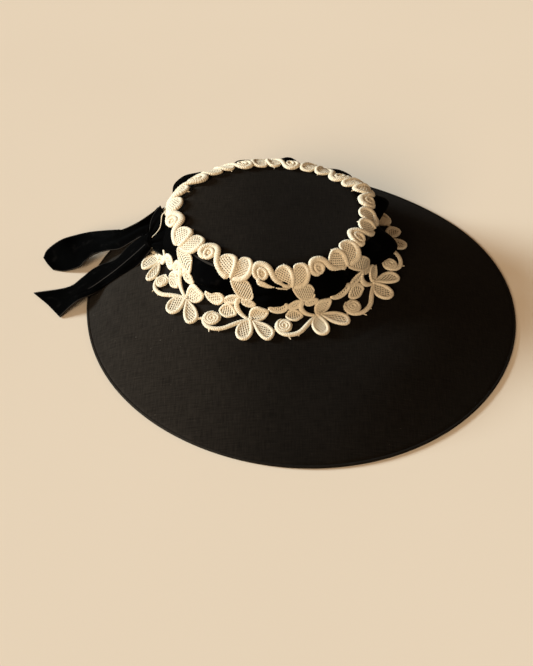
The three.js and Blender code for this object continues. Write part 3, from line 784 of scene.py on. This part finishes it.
def lace_repeat():
    """One repeat of the lace: its cords and its nets."""
    cords = Chart()
    nets = Chart()
    cord = cords.cord
    net = nets.net
    # Upper scroll: an outer cord that leaves its ring over the top and runs down as the leaf's lower edge.
    cord([(0.08, 18.4), (0, 18), (-0.066, 15.5), (-0.08, 11.9), (-0.045, 8.1), (0.032, 6.1), (0.113, 6.3),
          (0.181, 8.7), (0.225, 12.6), (0.266, 16.7), (0.324, 20.1), (0.398, 23.2), (0.5, 25.2)],
         (3.2, 4.4, 4.8, 4.8, 4.8, 4.8, 4.6, 4.4, 4.2), height=3.2)
    cord([(0.086, 17.6), (0.036, 16.1), (0.008, 13.2), (0.022, 10.6), (0.07, 9.8), (0.12, 10.9),
          (0.148, 13), (0.137, 15.8)], (3.2,), height=2.8, loop=True)
    cord([(0.058, 11.6), (0.078, 14.8)], (3.2,))
    net(coil(0.05, 12.4, 7, 7, 0, 1, 12)[:-1], 40, pitch=1.0, rim=1.2, dish=0.1)
    # Narrow and broad leaf, dished, with their thick edge on the right.
    cord([(0.536, 25.4), (0.551, 20.2), (0.557, 15.6), (0.538, 11.7), (0.498, 8.8), (0.428, 7.5),
          (0.355, 8.3), (0.304, 10.6), (0.285, 13.5)], (3.4, 3.8, 4.2, 4, 3.6, 3, 2.4, 1.8), height=3.2)
    net([(0.295, 12), (0.375, 8.8), (0.457, 8.8), (0.52, 12), (0.54, 16.1), (0.53, 21.4), (0.51, 25),
         (0.409, 23), (0.33, 19), (0.29, 15)], 30)
    cord([(0.56, 24.8), (0.659, 24.4), (0.75, 22.9), (0.815, 19.2), (0.85, 14.5), (0.845, 10.2),
          (0.8, 7.2), (0.723, 6), (0.64, 6.6), (0.602, 8.8), (0.593, 12.9), (0.578, 17.8), (0.566, 23)],
         (3, 4.4, 4.8, 4.6, 3.8, 2.8, 2.4, 2.2, 2.2), height=3.2)
    net([(0.595, 9.5), (0.66, 7.2), (0.74, 7), (0.81, 9), (0.84, 13), (0.82, 18), (0.75, 22), (0.66, 23.8),
         (0.57, 24.2), (0.58, 18), (0.59, 13)], -35)
    # Drop petal, which holds the ribbon down.
    cord([(0.545, 25.6), (0.568, 27.5), (0.615, 31), (0.696, 35.7), (0.75, 37.4), (0.82, 38.4)],
         (2.4, 2.6, 2.4, 2.2), height=2)
    cord([(0.72, 24.2), (0.834, 24.6), (0.908, 28.4), (0.942, 34), (0.905, 37.4), (0.8, 38.4)], (1.7,),
         height=1.7)
    net([(0.564, 25.5), (0.63, 24.6), (0.743, 23.7), (0.834, 24.4), (0.908, 28.4), (0.943, 34.2),
         (0.905, 37.4), (0.814, 38.2), (0.696, 35.7), (0.615, 30.9)], -65, dish=0.3, **OPEN_NET)
    # Pair of side leaves at the petal's foot, and the half disc that bridges to the next repeat.
    cord([(0.49, 42), (0.545, 39.3), (0.623, 37.6), (0.7, 37.8), (0.735, 39.8), (0.715, 42.2), (0.626, 43),
          (0.535, 43.3)], (2.4,), height=2, loop=True)
    net([(0.5, 42), (0.55, 39.8), (0.623, 38), (0.7, 38.2), (0.725, 40), (0.71, 42), (0.626, 42.6),
         (0.535, 42.9)], 60)
    cord([(0.78, 39), (0.86, 38.2), (0.94, 39), (0.985, 40.4), (0.945, 42), (0.86, 42.6), (0.79, 41.4)],
         (2.3,), height=1.9, loop=True)
    net([(0.79, 39.4), (0.86, 38.7), (0.94, 39.4), (0.975, 40.4), (0.94, 41.6), (0.86, 42.1), (0.8, 41.2)],
         70)
    cord([(0.205, 41.5), (0.255, 39.6), (0.33, 38.6), (0.42, 38.6), (0.475, 40.6), (0.48, 43),
          (0.43, 45.2), (0.357, 45.7), (0.275, 44.7), (0.222, 43)], (2.8,), height=2.4, loop=True)
    net([(0.215, 41.7), (0.26, 40.2), (0.33, 39.2), (0.42, 39.2), (0.465, 41), (0.465, 43), (0.425, 44.6),
         (0.357, 45.1), (0.28, 44.2)], 75)
    cord([(0.745, 37.4), (0.7, 40), (0.7, 43.7), (0.735, 46.8), (0.8, 49.9), (0.91, 53.2)],
         (3, 4.4, 4.6, 4, 3.2, 2.6), height=2.6)
    # Lower leaf, flower of three petals, lower scroll and the stem round it.
    cord([(0.477, 49.3), (0.51, 46), (0.573, 44.4), (0.64, 45.8), (0.7, 49), (0.715, 51), (0.668, 52.7),
          (0.625, 54.2), (0.56, 53.6), (0.508, 51.7)], (2.3,), height=2, loop=True)
    net([(0.485, 49.3), (0.515, 46.4), (0.573, 44.9), (0.64, 46.3), (0.69, 49), (0.705, 51), (0.66, 52.2),
         (0.62, 53.7), (0.56, 53.1), (0.515, 51.4)], 80, dish=0.2, **OPEN_NET)
    cord([(0.937, 52.4), (0.931, 47.6), (0.962, 44.2), (1.034, 42.5), (1.117, 43.3), (1.178, 44.2),
          (1.175, 46.6), (1.125, 50.3), (1.044, 52.4)], (2.6, 3, 3.2, 3, 2.4, 2, 2, 2.2), height=2.5,
         loop=True)
    net([(0.945, 51.6), (0.942, 47.8), (0.97, 45), (1.034, 43.3), (1.117, 44), (1.168, 44.8),
         (1.165, 46.4), (1.118, 49.8), (1.044, 51.6)], 50)
    cord([(0.934, 54.6), (0.862, 57), (0.822, 62), (0.825, 67.8), (0.86, 72.4), (0.912, 74), (0.962, 72.7),
          (0.993, 67.9), (0.988, 62.5), (0.962, 57.2)], (2.4, 2.8, 3.2, 3.4, 3.4, 3.2, 2.6), height=2.6,
         loop=True)
    net([(0.934, 56), (0.872, 58), (0.834, 62.5), (0.838, 67.5), (0.868, 71.5), (0.912, 73), (0.955, 71.8),
         (0.98, 67.7), (0.976, 62.5), (0.955, 58)], 65, **FLOWER_NET)
    cord([(0.985, 54.3), (1.06, 54.9), (1.158, 57), (1.238, 61), (1.274, 65.5), (1.258, 69.9),
          (1.214, 71.8), (1.156, 69.8), (1.088, 65), (1.03, 59)], (2.4, 2.8, 3.2, 3.4, 3.4, 3, 2.4),
         height=2.6, loop=True)
    net([(1.0, 55), (1.06, 56), (1.152, 58), (1.225, 61.7), (1.258, 65.6), (1.244, 69.2), (1.21, 70.7),
         (1.162, 68.8), (1.1, 64.2), (1.04, 58.5)], 15, **FLOWER_NET)
    cord(coil(0.445, 59.7, 0.8, 6.6, 60, 2.45, 36), (2.8, 3.1, 3.3), height=2.6)
    net(coil(0.445, 59.7, 7.2, 7.2, 0, 1, 12)[:-1], 30, pitch=1.0, rim=1.5, dish=-0.3)
    cord([(0.935, 53.2), (0.82, 57.4), (0.728, 62.4), (0.651, 66.8), (0.565, 69.3), (0.464, 69.2),
          (0.38, 66.1), (0.336, 61.2), (0.345, 55.8), (0.4, 52.2)],
         (2.4, 3.6, 4.2, 4.2, 4.2, 4, 3.6, 3, 2), height=2.7)
    cord([(0.85, 14), (0.925, 13)], (2.6,), height=1.6)
    cord([(0.27, 65.5), (0.335, 62)], (2.4,), height=1.6)
    cord(coil(0.945, 53.5, 1.0, 1.5, 0, 1, 8), (2.6,), height=2.8, blunt=False)
    tufts = [(0.486, 70.6), (0.508, 73.9)], [(0.6, 68.6), (0.615, 71.2)], [(0.43, 6.8), (0.428, 4.6)]
    for tuft in tufts:
        cord(tuft, (1.6, 0.6), height=1.2)
    return cords, nets


def bride_bar():
    """Thin bar that joins scroll and leaf, in one repeat only: its places, faces and thread places."""
    bar = Chart()
    bar.cord([(0.055, 18.8), (0.03, 20.2), (0.05, 21.5), (0.117, 22.5), (0.193, 23.8), (0.268, 24.6),
              (0.382, 25.1), (0.47, 25.6)], (4, 4.6, 4.2, 3, 2, 1.4, 1, 1), height=1.7, base=3.4)
    places = np.vstack(bar.places) + (BRIDE_REPEAT, 0, 0)
    return lay.place(*places.T), np.vstack(bar.quads), np.vstack(bar.threads)


def loose_thread():
    """End of thread that has come out of the lace and hangs over the tie."""
    path, length = eased(LOOSE_THREAD, THREAD_ROWS)
    turn = np.linspace(0, 2 * math.pi, THREAD_SIDES)
    thick = np.linspace(*THREAD_RADII, THREAD_ROWS)[:, None, None]
    points = path[:, None, :] + around(1, turn, 0) * thick
    flat = chart_places(np.linspace(0, length, THREAD_ROWS)[:, None], turn)
    return points.reshape(-1, 3), grid_quads(THREAD_ROWS, THREAD_SIDES), flat.reshape(-1, 2)


def lace_piece(name, chart, more=()):
    """Ten repeats of a chart round the hat, with further places, faces and thread places joined in."""
    rng = np.random.default_rng(LACE_SEED)
    places = np.vstack(chart.places)
    quads = np.vstack(chart.quads)
    threads = np.vstack(chart.threads)
    laid = []
    for repeat in range(REPEATS):
        shift_u = rng.uniform(-STRAY_ALONG, STRAY_ALONG)
        shift_s = rng.uniform(-STRAY_DOWN, STRAY_DOWN)
        wobble = rng.uniform(0, WOBBLE_START, 2)
        u = places[:, 0] + shift_u + WOBBLE_ALONG * np.sin(places[:, 1] / 9 + wobble[0])
        s = places[:, 1] + shift_s + WOBBLE_DOWN * np.sin(places[:, 0] * 9 + wobble[1])
        laid.append(lay.place(u + repeat, s, places[:, 2]))
    faces = [quads + repeat * len(places) for repeat in range(REPEATS)]
    flat = [threads + (repeat * THREAD_SHIFT, 0) for repeat in range(REPEATS)]
    for points, more_quads, more_flat in more:
        faces.append(more_quads + sum(map(len, laid)))
        laid.append(points)
        flat.append(more_flat)
    return quad_piece(name, np.vstack(laid), np.vstack(faces), np.vstack(flat))


def lace_material():
    """Cream cotton, satin-stitched: slanting stitches with painted shade in their grooves, and a little
    darker in patches.
    """
    tree, place, out = group_tree("satin_stitch")
    apart = node(tree, "ShaderNodeSeparateXYZ", {0: place})
    slanted = math_node(tree, "MULTIPLY_ADD", apart.outputs[1], STITCH_SLANT, apart.outputs[0])
    uneven = math_node(tree, "MULTIPLY_ADD", noise_node(tree, place, 0.5, 2.0), 1.6, slanted)
    stitch = math_node(tree, "SINE", math_node(tree, "MULTIPLY", uneven, 2 * math.pi / STITCH_PITCH))
    mottled = math_node(tree, "MULTIPLY_ADD", noise_node(tree, place, 0.8, 2.0), 0.5, 0.58)
    # Painted shade: the colour dips with the stitches' relief, so it is darker in their grooves.
    tree.links.new(math_node(tree, "MULTIPLY_ADD", stitch, STITCH_PAINTED_SHADE, mottled), out.inputs["Shade"])
    tree.links.new(stitch, out.inputs["Height"])
    material, look, skin = bare_material("lace_thread")
    chart = node(look, "ShaderNodeUVMap", uv_map="chart").outputs[0]
    stitched = node(look, "ShaderNodeGroup", node_tree=tree)
    look.links.new(chart, stitched.inputs["Place"])
    where = node(look, "ShaderNodeTexCoord").outputs["Object"]
    toned = mix_node(look, noise_node(look, where, 55.0, 3.0), *LACE_TONES)
    look.links.new(scale_node(look, toned, stitched.outputs["Shade"]), skin.inputs["Base Color"])
    link_bump(look, skin, stitched.outputs["Height"], strength=0.5, distance=0.00026)
    set_finish(skin, {"Roughness": 0.72, "Specular IOR Level": 0.25, "Sheen Weight": 0.15,
                      "Sheen Tint": LACE_TINT})
    return material


lace_thread = lace_material()
cord_chart, net_chart = lace_repeat()
lace_cords = lace_piece("lace_cords", cord_chart, [bride_bar(), loose_thread()])
lace_net = lace_piece("lace_net", net_chart)
for lace in (lace_cords, lace_net):
    lace.data.materials.append(lace_thread)
    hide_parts("lace_band")


# Tie: the ribbon comes out of a window of the lace in a pleated fan, which is drawn together in a small
# knot outside it. Both are the same velvet. The fan's upper corner stands up beside the lace.
FAN_BASE = [(-80, 74.5, 70.5), (-85.3, 57.9, 72.7), (-87.5, 50.6, 67.8), (-89.3, 44.6, 62.8),
            (-92.2, 37.3, 56.9), (-95.5, 32.5, 50), (-98.5, 33, 44)]
FAN_PINCH = [(-97.5, 65.5, 57), (-99.5, 61.5, 53), (-101, 57.5, 48.5), (-102.5, 53, 42.5)]
FAN_OUT = np.array([-0.78, 0.4, 0.48])
FAN_THICK = 0.9
FAN_LENGTH = 24.0
FAN_ROWS = 24
FAN_COLUMNS = 60
FAN_BULGE = 2.2
# A pleat has its number of waves across the fan, where it starts, its turn down the fan, and its height.
FAN_PLEATS = [(5.2, 0.6, 0, 1.5), (9.3, 0, 2, 0.8)]
KNOT_MIDDLE = np.array([-99.5, 62.0, 47.4])
KNOT_RADIUS = 6.6
KNOT_TALL = 7.4
KNOT_SIDES = 72
KNOT_ROWS = 30
KNOT_END = math.pi / 2 - 0.02
# Share of its length where a folded ribbon's selvedge goes out of sight, over how far, and by what shift.
FOLD_FADES = 0.6
FOLD_FADE = 12.0
FOLD_SHIFT = 1.5


def thin_sheet(name, net, thick, long, wide, folded=False):
    """Closed cloth of even thickness over a net of places. It may be folded along its middle."""
    rows, columns = net.shape[:2]
    up = np.cross(np.gradient(net, axis=1), np.gradient(net, axis=0))
    up /= np.linalg.norm(up, axis=2, keepdims=True)
    up *= np.sign(up[..., 2].mean())
    points = np.concatenate([net, (net + up * thick)[:, ::-1]], 1)
    share = np.linspace(0, long, rows)[:, None]
    side = np.linspace(0, wide, columns)[None, :]
    if folded:
        hidden = np.clip((share - FOLD_FADES * long) / FOLD_FADE, 0, 1)
        side = np.abs(2 * side - wide) + FOLD_SHIFT * hidden
    flat = chart_places(share, np.concatenate([side, side[:, ::-1]], 1))
    k = np.arange(columns - 1)
    end = np.stack([k, 2 * columns - 1 - k, 2 * columns - 2 - k, k + 1], 1)
    far_end = end[:, ::-1] + (rows - 1) * 2 * columns
    quads = np.vstack([grid_quads(rows, 2 * columns, round_columns=True), end, far_end])
    p, q, r = (points.reshape(-1, 3)[quads[:, i]] for i in range(3))
    if np.sum(p * np.cross(q, r)) < 0:
        quads = quads[:, ::-1]
    return quad_piece(name, points, quads, flat)


def fan_piece():
    """Velvet from the mouth of the window to the knot, pleated across."""
    base, _ = eased(FAN_BASE, FAN_COLUMNS)
    pinch, _ = eased(FAN_PINCH, FAN_COLUMNS)
    v = np.linspace(0, 1, FAN_ROWS)[:, None, None]
    w = np.linspace(0, 1, FAN_COLUMNS)[None, :, None]
    pleats = sum(tall * np.sin(2 * math.pi * waves * w + start + turn * v)
                 for waves, start, turn, tall in FAN_PLEATS)
    gathered = pleats * (0.25 + 0.75 * v) * np.sin(math.pi * w) ** 0.4
    net = base * (1 - v) + pinch * v + FAN_OUT * (FAN_BULGE * np.sin(math.pi * v) + gathered)
    return thin_sheet("ribbon_fan", net, FAN_THICK, FAN_LENGTH, RIBBON_WIDTH)


def knot_piece():
    """Short barrel with the turns of the ribbon round it."""
    turn = all_round(KNOT_SIDES)
    rise = np.linspace(-KNOT_END, KNOT_END, KNOT_ROWS)[:, None]
    wrap = 0.09 * np.sin(7 * rise + 2.2 * np.cos(turn)) + 0.05 * np.sin(9 * turn + 2 * rise)
    ball = KNOT_RADIUS * np.cos(rise) ** 0.7 * (1 + wrap)
    places = around(ball, turn, KNOT_TALL * np.sin(rise)) + KNOT_MIDDLE
    flat = chart_places(turn * KNOT_RADIUS, rise * KNOT_TALL + RIBBON_WIDTH / 2)
    quads = grid_quads(KNOT_ROWS, KNOT_SIDES, round_columns=True)
    return quad_piece("ribbon_tie", places, quads, flat)


fan = fan_piece()
tie = knot_piece()
for gathered in (fan, tie):
    gathered.data.materials.append(velvet)
    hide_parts("ribbon_knot")


# Loose ends: two lengths of the velvet ribbon from the knot, over the narrow side of the brim and down on
# to the table. Each is cut at a slant, and narrow woven selvedges run along its edges.
# A row goes across the ribbon: one edge, the fold in its middle, the other edge.
TAIL_THICK = 0.9
TAIL_LENGTH = 150.0
TAIL_ROWS = 100
TAIL_COLUMNS = 33
TAIL_LIFT = 0.3
SHARP_FOLD = 0.75
SOFT_FOLD = 0.2
TAIL_SWAY = 0.8
BEAD_WIDTH = 0.035
TAIL_UPPER = [
    [(-82, 75, 69), (-89.5, 75, 59), (-98.6, 71.1, 47.4)],
    [(-93, 76.8, 62.5), (-97, 83, 54), (-104.1, 76.2, 43)],
    [(-101.9, 83.6, 54), (-105, 89, 47), (-109.6, 83.1, 36)],
    [(-112, 97.4, 41.5), (-114, 103, 36), (-119.1, 95.3, 24)],
    [(-118, 122, 28), (-123, 119, 23), (-127.7, 106.8, 18)],
    [(-125, 144, 16), (-132.4, 130.3, 16), (-138.5, 114.4, 12.5)],
    [(-137.2, 153.5, 12), (-144.3, 133.1, 11), (-149.5, 113.8, 8.5)],
    [(-154.8, 154.3, 13), (-156, 133.4, 8), (-155.4, 114.1, 4.5)],
    [(-170.8, 153.9, 7.8), (-169.4, 138, 3.2), (-168, 121, 0.6)],
    [(-178.4, 148.5, 4.2), (-178.2, 139.5, 2), (-177, 130, 0.6)]]
TAIL_LOWER = [
    [(-100.5, 75, 46), (-103.2, 61.5, 44), (-103.3, 56, 41)],
    [(-113, 85, 30), (-119, 65.5, 31.5), (-119, 57, 28.5)],
    [(-127.2, 88.3, 17.5), (-136, 67, 23), (-138, 62, 19.5)],
    [(-139.5, 96.8, 11), (-150.5, 69.5, 15.5), (-152, 66, 12)],
    [(-149, 99.4, 7.5), (-164.7, 68.7, 12.5), (-167.4, 64.1, 10.5)],
    [(-160.9, 98.1, 4.2), (-176.5, 72.5, 9.5), (-180, 64.9, 9)],
    [(-177, 97, 1.5), (-185.4, 79.3, 5), (-189.2, 65.2, 5)],
    [(-207, 109, 0.6), (-203, 86, 0.8), (-201, 63, 0.6)]]


def tail_piece(name, rows, pleats, depth, ridge):
    """Ribbon over rows of places, gathered at the knot. A ridge along its middle is a sharp fold."""
    t = np.linspace(0, 1, TAIL_COLUMNS)
    across = []
    for row in np.array(rows, float):
        round_way, _ = eased(row, TAIL_COLUMNS)
        sharp = np.stack([np.interp(t, (0, 0.5, 1), column) for column in row.T], 1)
        across.append(round_way + (sharp - round_way) * (SHARP_FOLD if ridge else SOFT_FOLD))
    across = np.stack(across)
    net = np.stack([eased(across[:, k], TAIL_ROWS)[0] for k in range(TAIL_COLUMNS)], 1)
    share = np.linspace(0, 1, TAIL_ROWS)[:, None]
    side = t[None, :]
    gather = depth * (1 - share) ** 2 * np.sin(pleats * 2 * math.pi * side)
    slow = TAIL_SWAY * np.sin(5 * share + 3 * side) * np.sin(math.pi * share)
    bead = ridge * np.exp(-((side - 0.5) / BEAD_WIDTH) ** 2) * np.clip(1.4 - 1.6 * share, 0, 1)
    net[..., 2] = np.maximum(net[..., 2] + gather + slow + bead, TAIL_LIFT)
    return thin_sheet(name, net, TAIL_THICK, TAIL_LENGTH, RIBBON_WIDTH, folded=ridge > 0)


tail_upper = tail_piece("ribbon_end_upper", TAIL_UPPER, pleats=3, depth=1.6, ridge=0)
tail_lower = tail_piece("ribbon_end_lower", TAIL_LOWER, pleats=2, depth=1.2, ridge=1.1)
for tail, cad_name in ((tail_upper, "ribbon_tail_upper"), (tail_lower, "ribbon_tail_lower")):
    tail.data.materials.append(velvet)
    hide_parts(cad_name)


# Table: a plain pale surface, with a low soft light from the left, a weak warm one from the front
# and the room's own light.
TABLE_HALF = 80.0
TABLE_TONES = ((0.755, 0.662, 0.55, 1), (0.72, 0.63, 0.52, 1))
LIGHT_AIM = (0.0, 0.0, 0.05)
KEY_PLACE = (-2.1, 2.08, 1.06)
KEY_COLOUR = (0.8, 0.925, 0.965)
FILL_PLACE = (-2.5, -1.2, 1.4)
FILL_COLOUR = (1.0, 0.785, 0.545)
ROOM_COLOUR = (1.0, 0.655, 0.395, 1)
EYE_PLACE = (-0.3735, -0.4834, 0.5401)
EYE_LENS = 45.95
EYE_TILT = math.radians(45.9)
EYE_TURN = math.radians(-35)


def table_top():
    """Flat table, far wider than the hat."""
    mesh = bpy.data.meshes.new("table")
    far = TABLE_HALF
    mesh.from_pydata([(-far, -far, 0), (far, -far, 0), (far, far, 0), (-far, far, 0)], [], [(0, 1, 2, 3)])
    piece = placed("table", mesh)
    material, tree, skin = bare_material("table_pale")
    where = node(tree, "ShaderNodeTexCoord").outputs["Object"]
    tone = mix_node(tree, noise_node(tree, where, 3.0, 2.0), *TABLE_TONES)
    tree.links.new(tone, skin.inputs["Base Color"])
    set_finish(skin, {"Roughness": 1.0, "Specular IOR Level": 0.0})
    mesh.materials.append(material)
    return piece


def soft_light(name, place, spread, power, colour):
    """Far, broad light from the direction of a place, with its spread in degrees."""
    lamp = bpy.data.lights.new(name, "SUN")
    lamp.angle = math.radians(spread)
    lamp.energy = power
    lamp.color = colour
    piece = placed(name, lamp)
    piece.location = place
    away = np.array(LIGHT_AIM) - np.array(place)
    level = math.hypot(away[0], away[1])
    piece.rotation_euler = (math.atan2(level, -away[2]), 0, math.atan2(-away[0], away[1]))
    return piece


table = table_top()
key = soft_light("key_light", KEY_PLACE, spread=18, power=6.1, colour=KEY_COLOUR)
fill = soft_light("fill_light", FILL_PLACE, spread=26, power=2.55, colour=FILL_COLOUR)
room = bpy.data.worlds.new("room")
room.use_nodes = True
set_finish(room.node_tree.nodes["Background"], {"Color": ROOM_COLOUR, "Strength": 0.22})
bpy.context.scene.world = room
bpy.context.scene.view_settings.view_transform = "Standard"
eye = bpy.data.cameras.new("photo_view")
eye.lens = EYE_LENS
camera = placed("photo_view", eye)
camera.location = EYE_PLACE
camera.rotation_euler = (EYE_TILT, 0, EYE_TURN)
bpy.context.scene.camera = camera
